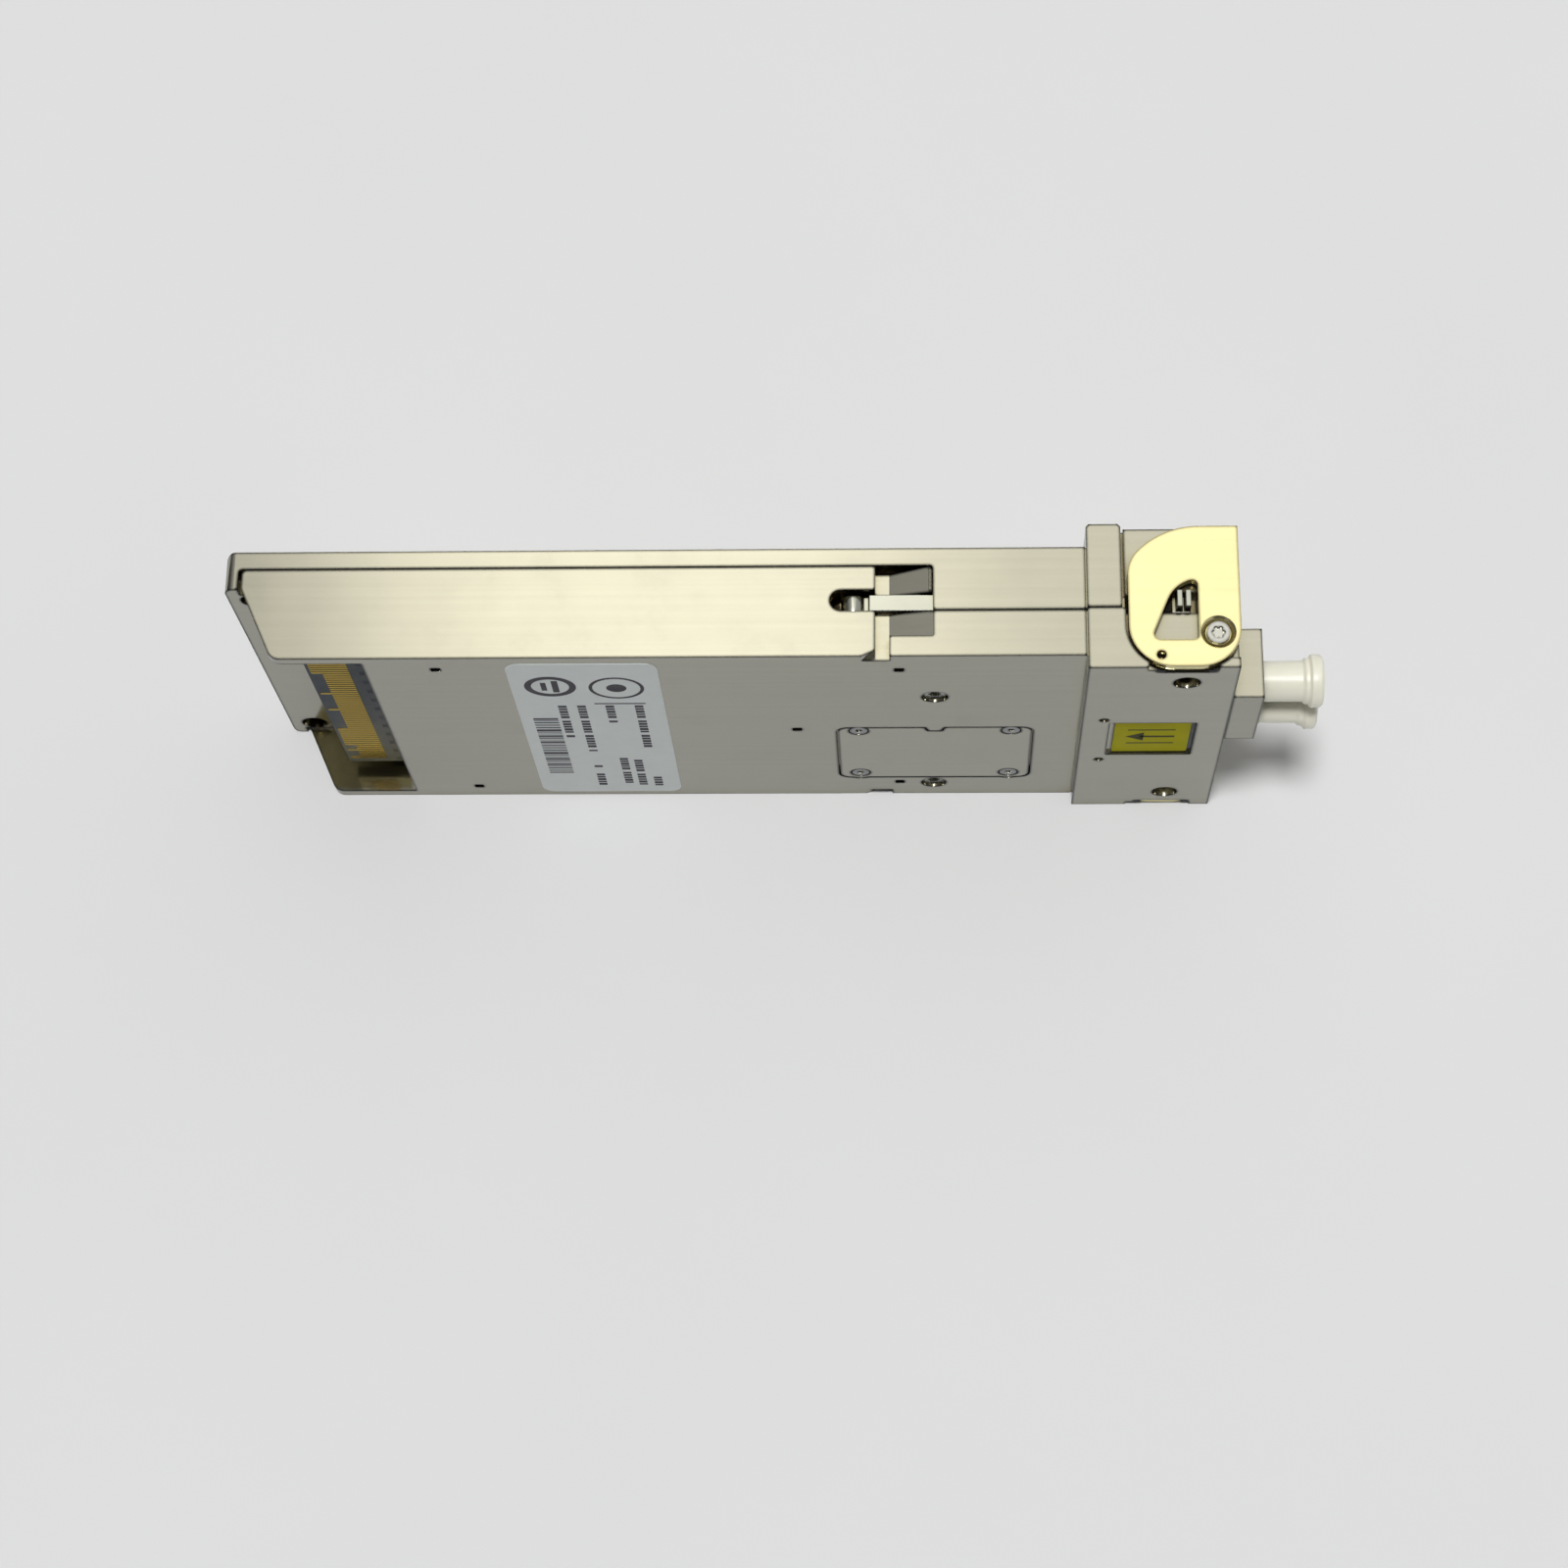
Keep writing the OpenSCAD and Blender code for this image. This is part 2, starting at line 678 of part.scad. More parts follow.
// One side plate of the bail, in the lower side
module bail_plate() {
  z = [plate_out, plate_out + bail_t];
  difference() {
    across(z) plate_outline();
    across([z[0] - eps, z[1] + eps]) plate_window();
    translate([pivot[0], pivot[1], 0]) cylinder(r = pivot_r + pivot_fit, h = 3);
    translate([pivot[0], pivot[1], plate_out])
      cylinder(r1 = head_sink_r, r2 = head_floor_r, h = head_t + 0.1);
    translate([pivot[0], pivot[1], -1]) cylinder(r = head_sink_r, h = 1 + plate_out);
    translate([plate_hole[0], plate_hole[1], 0]) cylinder(r = plate_hole_r, h = 3);
  }
}

// The U of the bail: two plates, and a bar with a turned-back lip across the front
module bail() place() color(gold_plate) union() {
  both_sides() bail_plate();
  across([plate_out + bail_t - eps, body_w - plate_out - bail_t + eps]) polygon([
    [plate_front, plate_top], [plate_front, bar_low_y], [bar_in_x, bar_low_y], [bar_in_x, lip_in_y],
    [lip_rear_x, lip_in_y], [lip_rear_x, plate_top]
  ]);
}

// Shoulder screw that a bail plate turns on, in the lower side
module pivot_screw() {
  top = plate_out + 0.05;
  translate([pivot[0], pivot[1], 0]) difference() {
    union() {
      translate([0, 0, top]) cylinder(r = head_r, h = head_t);
      translate([0, 0, top]) cylinder(r = pivot_r, h = cheek_d - top);
      cylinder(r = thread_r, h = nose_wall - 1);
    }
    translate([0, 0, -eps]) linear_extrude(top + 0.32 + eps) star(0.72);
    translate([0, 0, -1]) cylinder(r = 2, h = 1 + top);
  }
}

module pivot_screw_lower() place() color(screw_steel) pivot_screw();
module pivot_screw_upper() place() color(screw_steel) upper_side() pivot_screw();

// Latch slider in the lower side: curled rear end, joggled strip and a tab that stands in the window
module slider() {
  y = [slider_y, slider_y + slider_w];
  union() {
    through(y) slider_outline();
    translate([curl_x, y[1], curl_d]) rotate([90, 0, 0]) cylinder(r = curl_r, h = slider_w);
    box([curl_x, slider_x + web_len], y, [web_d, curl_d]);
    box([slider_x, slider_x + web_len], y, [slider_d1, curl_d]);
    for (x = [tab_x, tab_x + tab_len - lug_len])
      box([x, x + lug_len], [tab_y, tab_top_y], [tab_d, slider_d2 + slider_t]);
  }
}

module slider_lower() place() color(nickel) slider();
module slider_upper() place() color(nickel) upper_side() slider();

// ---------- optical ports ----------

module lc_receptacle() place() color(nickel) difference() {
  union() {
    box([body_len, block_face_x], block_y, [port_mid_z - block_half, port_mid_z + block_half]);
    box([rear_x, body_len + eps], neck_y, [port_mid_z - neck_half, port_mid_z + neck_half]);
  }
  for (z = port_zs) {
    difference() {
      union() {
        box([port_back_x, block_face_x + eps], [port_y - port_half, port_y + port_half],
            [z - port_half, z + port_half]);
        box([port_back_x, block_face_x + eps], [port_y + port_half - eps, -0.7],
            [z - latch_half, z + latch_half]);
      }
      bar_x([port_y, z], stem_r, [port_back_x - eps, block_face_x - 2.4]);
    }
    bar_x([port_y, z], sleeve_r + 0.05, [rear_x + 0.6, block_face_x]);
    bar_x([port_y, z], ferrule_r + 0.1, [rear_x - eps, rear_x + 1]);
  }
  for (s = [-1, 1]) translate([0, 0, port_mid_z + s * neck_half])
    box([104, 104.9], [neck_y[0] - eps, neck_y[1] + eps], [-clip_d, clip_d]);
}

// Spring clip in the receptacle's grooves, behind the gasket
module receptacle_clip() place() color(screw_steel) difference() {
  box([104.05, 104.85], [neck_y[0], 1.4], [port_mid_z - neck_half - 1.2, port_mid_z + neck_half + 1.2]);
  box([104, 104.9], [neck_y[0] - eps, neck_y[1] + gap],
      [port_mid_z - neck_half + clip_d - gap / 2, port_mid_z + neck_half - clip_d + gap / 2]);
}

module port_gasket() place() color("dimgray") difference() {
  box([104.95, front_x], [neck_y[0], 0.9], [port_mid_z - neck_half - 1, port_mid_z + neck_half + 1]);
  box([104.9, front_x + eps], [neck_y[0] - eps, neck_y[1] + gap],
      [port_mid_z - neck_half - gap, port_mid_z + neck_half + gap]);
}

module split_sleeves() place() color("ivory") {
  for (z = port_zs) difference() {
    bar_x([port_y, z], sleeve_r, [rear_x + 0.7, block_face_x - 2.6]);
    bar_x([port_y, z], sleeve_in_r, [rear_x + 0.6, block_face_x - 2.5]);
    box([rear_x, block_face_x], [port_y, port_y + 1], [z - 0.08, z + 0.08]);
  }
}

module ferrule_stubs() place() color("gainsboro") {
  for (z = port_zs) union() {
    bar_x([port_y, z], ferrule_r, [rear_x - 0.5, 103]);
    bar_x([port_y, z], 1.3, [97, rear_x]);
  }
}

// Dust plug: barrel over the port's stem, and a stepped end flange
module dust_plug(z) {
  translate([0, port_y, z]) rotate([0, 90, 0]) rotate_extrude() polygon([
    [plug_bore_r, plug_in_x], [plug_r - 0.2, plug_in_x], [plug_r, plug_in_x + 0.4],
    [plug_r, plug_end_x - plug_flange_t - 0.7], [plug_r + 0.3, plug_end_x - plug_flange_t - 0.4],
    [plug_r + 0.3, plug_end_x - plug_flange_t], [plug_flange_r, plug_end_x - plug_flange_t + 0.25],
    [plug_flange_r, plug_end_x - 0.3], [plug_flange_r - 0.3, plug_end_x], [1.1, plug_end_x],
    [0.9, plug_end_x - 0.4], [0, plug_end_x - 0.4], [0, block_face_x], [plug_bore_r, block_face_x]
  ]);
}

module dust_plug_upper() place() color(plug_white) dust_plug(port_zs[1]);
module dust_plug_lower() place() color(plug_white) dust_plug(port_zs[0]);

// ---------- circuit board ----------

module main_board() place() color(board_green) difference() {
  union() {
    box([board_rear_x, board_wide_x + eps], [board_y, board_top_y], [board_in, body_w - board_in]);
    box([board_wide_x, board_front_x], [board_y, board_top_y], [board_edge, body_w - board_edge]);
  }
  for (p = board_screw_places) bar_y(p, hole_r, [board_y - eps, board_top_y + eps]);
}

// Contacts reach further back in two groups and at four single places
function is_long(i) = i == 0 || i == 4 || (i > 6 && i < 16) || i == 25 || i == 33 || i > 42;

module contact_row(y) {
  first_z = mid_z - (contact_n - 1) / 2 * contact_pitch;
  for (i = [0:contact_n - 1]) let (z = first_z + i * contact_pitch)
    box([is_long(i) ? contact_x : contact_short_x, contact_end_x], y, [z - contact_w / 2, z + contact_w / 2]);
}

module contacts_label_side() place() color(contact_gold) contact_row([board_y - contact_t, board_y]);
module contacts_sink_side() place() color(contact_gold) contact_row([board_top_y, board_top_y + contact_t]);

module board_screws() place() color(screw_steel) {
  for (p = board_screw_places) driven_screw(p, board_y - 0.8, 1.3, 0.8, shank_r, 5.5, 0.6);
}

// ---------- parts on the board ----------

// A flat square package standing on the board's heat-sink side
module square_package(mid, w, y, t) {
  box([mid[0] - w / 2, mid[0] + w / 2], [y, y + t], [mid[1] - w / 2, mid[1] + w / 2]);
}

module signal_processor_base() place() color("darkolivegreen")
  square_package(processor_mid, processor_base_w, board_top_y, base_t);

module signal_processor_lid() place() color("silver")
  square_package(processor_mid, processor_lid_w, board_top_y + base_t, lid_t);

module processor_pad() place() color(pad_grey)
  square_package(processor_mid, processor_lid_w - 1, board_top_y + base_t + lid_t, pad_t);

module optics_package() place() color(gold_plate) union() {
  box(optics_x, [board_top_y, board_top_y + 0.8], optics_z);
  box([optics_x[0] + 0.8, optics_x[1] - 1], [board_top_y + 0.7, board_top_y + optics_t],
      [optics_z[0] + 0.8, optics_z[1] - 0.8]);
  for (z = [23, 27, 31]) bar_x([0, z], 1, [optics_x[1] - 1.1, optics_x[1]]);
}

module optics_pad() place() color(pad_grey)
  box([optics_x[0] + 1.5, optics_x[1] - 1.8], [board_top_y + optics_t, plate_in_y],
      [optics_z[0] + 1.5, optics_z[1] - 1.5]);

module laser_package() place() color(gold_plate) union() {
  box([laser_x[0], laser_x[1] - 1.5], laser_y, laser_z);
  box([laser_x[0] + 0.4, laser_x[1] - 1.9], [laser_y[0] - 0.3, laser_y[0] + eps],
      [laser_z[0] + 0.4, laser_z[1] - 0.4]);
  bar_x([0.8, 13], 1.3, [laser_x[1] - 1.6, laser_x[1]]);
}

module laser_pad() place() color(pad_grey)
  box([laser_x[0] + 1, laser_x[1] - 2.5], [laser_y[1], plate_in_y], [laser_z[0] + 1, laser_z[1] - 1]);

// Flex circuit from the laser's rear end to its connector, with two soft bends
module laser_flex() place() color("darkorange") across([9, 17]) polygon(concat(
  [[laser_x[0], 0.1], [64.6, 0.1]],
  arc([64.6, -0.7], 0.8, 90, 150, 5), arc([61.6, -0.2], 1.2, -30, -90, 5),
  [[57.6, -1.4], [57.6, -1.2]],
  arc([61.6, -0.2], 1, -90, -30, 5), arc([64.6, -0.7], 1, 150, 90, 5),
  [[laser_x[0], 0.3]]
));

module flex_connector() place() color("ivory")
  box([57.6, 60.6], [board_top_y, -1.4], [8.5, 17.5]);

module power_inductors() place() color("dimgray") {
  for (z = [7.5:5.3:34.5]) union() {
    box([17.2, 20.8], [board_top_y, board_top_y + 1.6], [z - 1.8, z + 1.8]);
    box([17.5, 20.5], [board_top_y + 1.5, board_top_y + 2], [z - 1.5, z + 1.5]);
  }
}

module power_chips() place() color(chip_black) {
  for (z = [10, 20.75, 31.5]) box([21.8, 24.8], [board_top_y, board_top_y + 0.9], [z - 2, z + 2]);
}

module ceramic_capacitors() place() color("tan") {
  for (x = [28:4:44], z = [13:3.1:28.5])
    box([x, x + 1], [board_y - 0.5, board_y], [z - 0.25, z + 0.25]);
}

module controller_chip() place() color(chip_black)
  box([48.5, 55.5], [board_top_y, board_top_y + 0.9], [9.5, 16.5]);

module reference_oscillator() place() color("silver")
  box([49, 54], [board_top_y, board_top_y + 1.2], [4, 7.2]);

// ---------- fibres ----------

// Tray round the upper shell screw's post: a ring, a hub and four retaining posts
module fibre_tray() place() color(chip_black) translate([tray_mid[0], label_in, tray_mid[1]])
  rotate([-90, 0, 0]) difference() {
    union() {
      cylinder(r = tray_r, h = 0.6);
      cylinder(r = tray_hub_r, h = 5.4);
      for (a = [35, 145, 215, 325]) rotate(a) translate([6.4, -0.9, 0]) cube([0.5, 1.8, 5.4]);
    }
    translate([0, 0, -eps]) cylinder(r = tray_hub_r - 1, h = 6);
  }

function unit(v) = v / norm(v);

// One turn round the hub: from the start angle, turning by 360 degrees times turn, rising along Y
function coil(a0, turn, y0) = [
  for (i = [0:coil_steps]) let (a = a0 + turn * 360 * i / coil_steps)
    [tray_mid[0] + coil_r * cos(a), y0 + fibre_rise * i / coil_steps, tray_mid[1] + coil_r * sin(a)]
];

// Round tube along a route's points
module tube(route) {
  sides = 8;
  last = len(route) - 1;
  rings = [
    for (i = [0:last]) let (
      t = unit(route[min(i + 1, last)] - route[max(i - 1, 0)]),
      u = unit(cross(t, [0, 1, 0])),
      v = cross(u, t)
    ) for (k = [0:sides - 1]) let (a = 360 * k / sides) route[i] + fibre_r * (cos(a) * u + sin(a) * v)
  ];
  walls = [
    for (i = [0:last - 1], k = [0:sides - 1]) let (a = i * sides + k, b = i * sides + (k + 1) % sides)
      each [[a, b, b + sides], [a, b + sides, a + sides]]
  ];
  ends = [[for (k = [sides - 1:-1:0]) k], [for (k = [0:sides - 1]) last * sides + k]];
  polyhedron(rings, concat(walls, ends));
}

module transmit_fibre() place() color("gold")
  tube(concat(transmit_start, coil(90, -1, -3.8), transmit_end));

module receive_fibre() place() color("gold")
  tube(concat(receive_start, coil(-90, 1, -1.8), receive_end));

module laser_fibre() place() color("gold") tube(laser_route);

// ---------- nodes ----------

top_shell();
bottom_shell();
access_cover();
access_cover_screws();
shell_screws();
nose_screws();
main_label();
nose_label();
bail();
pivot_screw_upper();
pivot_screw_lower();
slider_upper();
slider_lower();
lc_receptacle();
receptacle_clip();
port_gasket();
split_sleeves();
ferrule_stubs();
dust_plug_upper();
dust_plug_lower();
main_board();
contacts_label_side();
contacts_sink_side();
board_screws();
signal_processor_base();
signal_processor_lid();
processor_pad();
optics_package();
optics_pad();
laser_package();
laser_pad();
laser_flex();
flex_connector();
power_inductors();
power_chips();
ceramic_capacitors();
controller_chip();
reference_oscillator();
fibre_tray();
transmit_fibre();
receive_fibre();
laser_fibre();
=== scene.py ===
import math

import bmesh
import bpy
from mathutils import Matrix, Vector


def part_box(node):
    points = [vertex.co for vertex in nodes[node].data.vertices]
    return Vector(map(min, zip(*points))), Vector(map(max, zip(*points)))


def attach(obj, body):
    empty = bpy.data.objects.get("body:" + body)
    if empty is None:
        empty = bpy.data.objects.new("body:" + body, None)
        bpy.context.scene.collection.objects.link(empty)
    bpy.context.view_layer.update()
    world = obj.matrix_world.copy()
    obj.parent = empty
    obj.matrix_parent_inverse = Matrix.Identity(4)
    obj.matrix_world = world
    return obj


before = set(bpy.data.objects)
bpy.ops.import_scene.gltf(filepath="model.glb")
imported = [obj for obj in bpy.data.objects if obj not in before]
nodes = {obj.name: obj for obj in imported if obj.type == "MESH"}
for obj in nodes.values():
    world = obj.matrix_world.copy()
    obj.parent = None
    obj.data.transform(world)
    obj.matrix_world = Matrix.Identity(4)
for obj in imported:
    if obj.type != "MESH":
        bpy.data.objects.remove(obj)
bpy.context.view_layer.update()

MM = 0.001
collection = bpy.context.scene.collection


# ---------- node helpers ----------

def add_node(tree, kind, inputs, **settings):
    """A new node. Each of its inputs is given as a socket to link or as a value to set."""
    node = tree.nodes.new(kind)
    for key, value in settings.items():
        setattr(node, key, value)
    for key, value in inputs.items():
        if isinstance(value, bpy.types.NodeSocket):
            tree.links.new(value, node.inputs[key])
        else:
            node.inputs[key].default_value = value
    return node


def calculate(tree, operation, *values):
    """One operation on sockets or numbers."""
    node = add_node(tree, "ShaderNodeMath", dict(enumerate(values)), operation=operation)
    return node.outputs["Value"]


def map_range(tree, value, start, end, low, high, **settings):
    """Maps start..end to low..high."""
    inputs = {"Value": value, "From Min": start, "From Max": end, "To Min": low, "To Max": high}
    return add_node(tree, "ShaderNodeMapRange", inputs, **settings).outputs["Result"]


def opaque(colour):
    """A colour as a node input takes it; a socket stays as it is."""
    return colour if isinstance(colour, bpy.types.NodeSocket) else (*colour, 1)


def tint(colour, factor):
    return tuple(min(c * factor, 1) for c in colour)


class Finish:
    """A node material round one Principled shader. Patterns are read in object space, in metres."""

    def __init__(self, name):
        self.material = bpy.data.materials.new(name)
        self.material.use_nodes = True
        self.tree = self.material.node_tree
        self.shader = self.tree.nodes["Principled BSDF"]
        self.coords = self.tree.nodes.new("ShaderNodeTexCoord").outputs["Object"]
        self.normal = None

    def set(self, **values):
        for key, value in values.items():
            self.shader.inputs[key.replace("_", " ")].default_value = value

    def drive(self, key, value):
        self.tree.links.new(value, self.shader.inputs[key])

    def noise(self, scale, detail=3, rough=0.5):
        """Noise whose scale may differ along X, Y and Z, in cycles per metre."""
        scale = scale if isinstance(scale, tuple) else (scale,) * 3
        mapping = add_node(self.tree, "ShaderNodeMapping", {"Vector": self.coords, "Scale": scale})
        inputs = {"Vector": mapping.outputs["Vector"], "Scale": 1, "Detail": detail, "Roughness": rough}
        return add_node(self.tree, "ShaderNodeTexNoise", inputs).outputs["Fac"]

    def span(self, value, low, high, start=0.3, end=0.7):
        """Maps a pattern's middle range to low..high."""
        return map_range(self.tree, value, start, end, low, high)

    def openness(self, reach, inside=False):
        """Low in gaps and holes, or with inside set, low along outer edges. The reach is in mm."""
        node = add_node(self.tree, "ShaderNodeAmbientOcclusion", {"Distance": reach * MM},
                        samples=6, inside=inside)
        return node.outputs["AO"]

    def blend(self, factor, one, two):
        inputs = {"Factor": factor, "A": opaque(one), "B": opaque(two)}
        return add_node(self.tree, "ShaderNodeMix", inputs, data_type="RGBA").outputs["Result"]

    def multiply(self, one, two):
        """The product of two colour sockets."""
        node = add_node(self.tree, "ShaderNodeMix", {"Factor": 1, "A": one, "B": two},
                        data_type="RGBA", blend_type="MULTIPLY")
        return node.outputs["Result"]

    def ramp(self, value, *stops):
        """Maps a pattern to a row of colours, each given as (place, colour)."""
        node = add_node(self.tree, "ShaderNodeValToRGB", {"Fac": value})
        elements = node.color_ramp.elements
        while len(elements) < len(stops):
            elements.new(0.5)
        for element, (place, colour) in zip(elements, stops):
            element.position = place
            element.color = opaque(colour)
        return node.outputs["Color"]

    def within(self, low, high, soft):
        """1 well inside a box given in millimetres of object space, and 0 outside it."""
        place = add_node(self.tree, "ShaderNodeSeparateXYZ", {"Vector": self.coords}).outputs
        least = None
        for axis in range(3):
            middle = (low[axis] + high[axis]) / 2 * MM
            half = (high[axis] - low[axis]) / 2 * MM
            offset = calculate(self.tree, "SUBTRACT", place[axis], middle)
            distance = calculate(self.tree, "ABSOLUTE", offset)
            inside = self.span(distance, 1, 0, half - soft * MM, half)
            least = inside if least is None else calculate(self.tree, "MINIMUM", least, inside)
        return least

    def bump(self, height, distance):
        """Adds a relief of the given depth, in metres, on top of those added before."""
        inputs = {"Height": height, "Distance": distance, "Strength": 1}
        if self.normal:
            inputs["Normal"] = self.normal
        self.normal = add_node(self.tree, "ShaderNodeBump", inputs).outputs["Normal"]
        self.drive("Normal", self.normal)


# ---------- metal ----------

GRAZING_TINT = (0.7, 0.72, 0.77, 1)
HAZE_SCALE = 160
WAVE_SCALE = 95
STREAK_GRAIN = 1.2e-6
# How far the painted dark line along outer edges reaches, in mm; it stands in for the dark reflections
# in rounded edges
EDGE_SHADE_REACH = 0.35
# Painted shade in gaps and holes, from half closed to open; the closed end's brown shade depends on the
# metal
GAP_PAINTED_SHADE = ((0.3, (0.74, 0.69, 0.52)), (0.5, (1, 0.99, 0.92)), (0.75, (1, 1, 1)))
# The connector bay's inside, in millimetres, and the painted shade of its walls
BAY = ((-58.3, -6.6, 0.9), (-44, 1.1, 40.6))
BAY_SOFT = 0.3
BAY_PAINTED_SHADE = ((0, (0.52, 0.46, 0.27)), (1, (0.62, 0.56, 0.34)))


def metal(name, colour, rough, spread=0.03, brushed=(10, 1300, 1300), wave=2.5e-5, gloom=0.22,
          reach=4.5, edge=0.03, bay=None):
    """Machined metal: fine streaks along one direction, soft waves that bend reflections, and handling
    haze, with painted shade on top: a dark line along outer edges that stands in for their dark
    reflections, and gaps and holes painted darker and brown where shade falls. The bay's inside walls
    get more painted shade."""
    f = Finish(name)
    f.set(Metallic=1.0, Specular_Tint=GRAZING_TINT)
    streaks = f.noise(brushed, detail=6, rough=0.62)
    haze = f.noise(HAZE_SCALE, detail=4, rough=0.6)
    shade = f.blend(f.span(streaks, 0, 1), tint(colour, 1 - spread), tint(colour, 1 + spread))
    shade = f.blend(f.span(haze, 0, 0.5, 0.55, 0.8), shade, tint(colour, 0.9))
    # Painted shade: outer edges are darkened to stand in for their dark reflections
    off_edge = f.span(f.openness(EDGE_SHADE_REACH, inside=True), 0, 1, 0.6, 0.9)
    shade = f.blend(off_edge, tint(colour, edge), shade)
    # Painted shade: gaps and holes are darkened towards brown where shade falls
    closed_gap_shade = (0.04, (1.25 * gloom, gloom, 0.65 * gloom))
    shade = f.multiply(shade, f.ramp(f.openness(reach), closed_gap_shade, *GAP_PAINTED_SHADE))
    # Painted shade: the walls inside the bay are darkened and browned
    if bay:
        shade = f.blend(f.within(*bay, BAY_SOFT), shade, f.multiply(shade, f.ramp(haze, *BAY_PAINTED_SHADE)))
    f.drive("Base Color", shade)
    f.drive("Roughness", f.span(haze, rough * 0.88, rough * 1.15))
    f.bump(f.noise(WAVE_SCALE, detail=1), wave)
    f.bump(streaks, STREAK_GRAIN)
    return f.material


# ---------- other materials ----------

# How far the painted shade in gaps of plastic and film reaches, in mm
GAP_REACH = 3


def solid(name, colour, rough, spread=0.08, scale=900, grain=4e-6, gloom=None, **values):
    """Plastic, ceramic, rubber or paper: mottled colour and a fine surface grain. With gloom set, gaps
    get painted shade.
    """
    f = Finish(name)
    f.set(**values)
    mottle = f.noise(scale, detail=4, rough=0.6)
    shade = f.blend(f.span(mottle, 0, 1), tint(colour, 1 - spread), tint(colour, 1 + spread))
    # Painted shade: gaps and hollows are darkened where shade falls
    if gloom is not None:
        shade = f.blend(f.span(f.openness(GAP_REACH), 0, 1, 0.1, 0.6), tint(colour, gloom), shade)
    f.drive("Base Color", shade)
    f.drive("Roughness", f.span(f.noise(scale * 0.4, detail=3), rough * 0.85, rough * 1.15))
    f.bump(f.noise(scale * 5, detail=2), grain)
    return f.material


def board_material():
    """Slate solder mask over a glass weave, with its roughness and height following the threads."""
    f = Finish("board_laminate")
    f.set(Specular_IOR_Level=0.12)
    cloud = f.noise(500, detail=4)
    weave = f.noise((9000, 2000, 2500), detail=1)
    f.drive("Base Color", f.blend(f.span(cloud, 0, 1), (0.018, 0.028, 0.042), (0.032, 0.045, 0.060)))
    f.drive("Roughness", f.span(weave, 0.3, 0.42))
    f.bump(weave, 6e-6)
    return f.material


NICKEL = (0.405, 0.392, 0.326)
nickel = metal("nickel", NICKEL, 0.17, bay=BAY)
cover_nickel = metal("cover_nickel", tint(NICKEL, 1.03), 0.2)
slider_nickel = metal("slider_nickel", (0.41, 0.415, 0.37), 0.2, wave=1e-5, gloom=0.35, edge=1)
receptacle_nickel = metal("receptacle_nickel", tint(NICKEL, 0.96), 0.24)
steel = metal("screw_steel", (0.46, 0.46, 0.44), 0.24, brushed=(2500, 2500, 2500), wave=1e-5,
              reach=2, edge=0.5)
gold_plate = metal("gold_plate", (0.74, 0.67, 0.37), 0.25, wave=2e-5, gloom=0.3, reach=2.5, edge=0.3)
contact_gold = metal("contact_gold", (0.55, 0.38, 0.045), 0.22, spread=0.12,
                     brushed=(300, 4000, 1500), edge=0.8)
package_gold = metal("package_gold", (0.78, 0.62, 0.30), 0.25)
lid_metal = metal("lid_metal", (0.62, 0.62, 0.60), 0.3)
label_paper = solid("label_paper", (0.62, 0.66, 0.65), 0.4, spread=0.02, scale=600)
label_ink = solid("label_ink", (0.022, 0.018, 0.03), 0.45, scale=1500, Specular_IOR_Level=0.2)
yellow_film = solid("yellow_film", (0.40, 0.37, 0.004), 0.5, spread=0.05, scale=500, gloom=0.3,
                    Specular_IOR_Level=0.04)
yellow_ink = solid("yellow_ink", (0.05, 0.05, 0.01), 0.4, scale=1500, Specular_IOR_Level=0.04)
board_dark_mark = solid("board_dark_mark", (0.006, 0.008, 0.03), 0.4, scale=1500, Specular_IOR_Level=0.1)
rubber = solid("rubber", (0.03, 0.03, 0.032), 0.7)
ceramic = solid("ceramic", (0.80, 0.78, 0.72), 0.2, spread=0.02)
plug = solid("plug", (0.85, 0.835, 0.70), 0.36, spread=0.015, scale=350, gloom=0.2,
             Subsurface_Weight=0.06, Subsurface_Radius=(0.0008, 0.0007, 0.0005), Subsurface_Scale=1.0)
package_green = solid("package_green", (0.05, 0.11, 0.05), 0.4)
thermal_pad = solid("thermal_pad", (0.36, 0.40, 0.46), 0.75, scale=2500, grain=2e-5)
flex_amber = solid("flex_amber", (0.50, 0.22, 0.03), 0.3, Coat_Weight=0.3)
connector_ivory = solid("connector_ivory", (0.70, 0.66, 0.54), 0.45)
inductor_grey = solid("inductor_grey", (0.13, 0.13, 0.135), 0.6, scale=3000, grain=1e-5)
chip_black = solid("chip_black", (0.02, 0.02, 0.022), 0.5, scale=3000, grain=6e-6)
capacitor_tan = solid("capacitor_tan", (0.42, 0.29, 0.17), 0.45)
tray_black = solid("tray_black", (0.03, 0.03, 0.03), 0.55)
fibre_yellow = solid("fibre_yellow", (0.75, 0.55, 0.05), 0.35, Coat_Weight=0.2)
board = board_material()

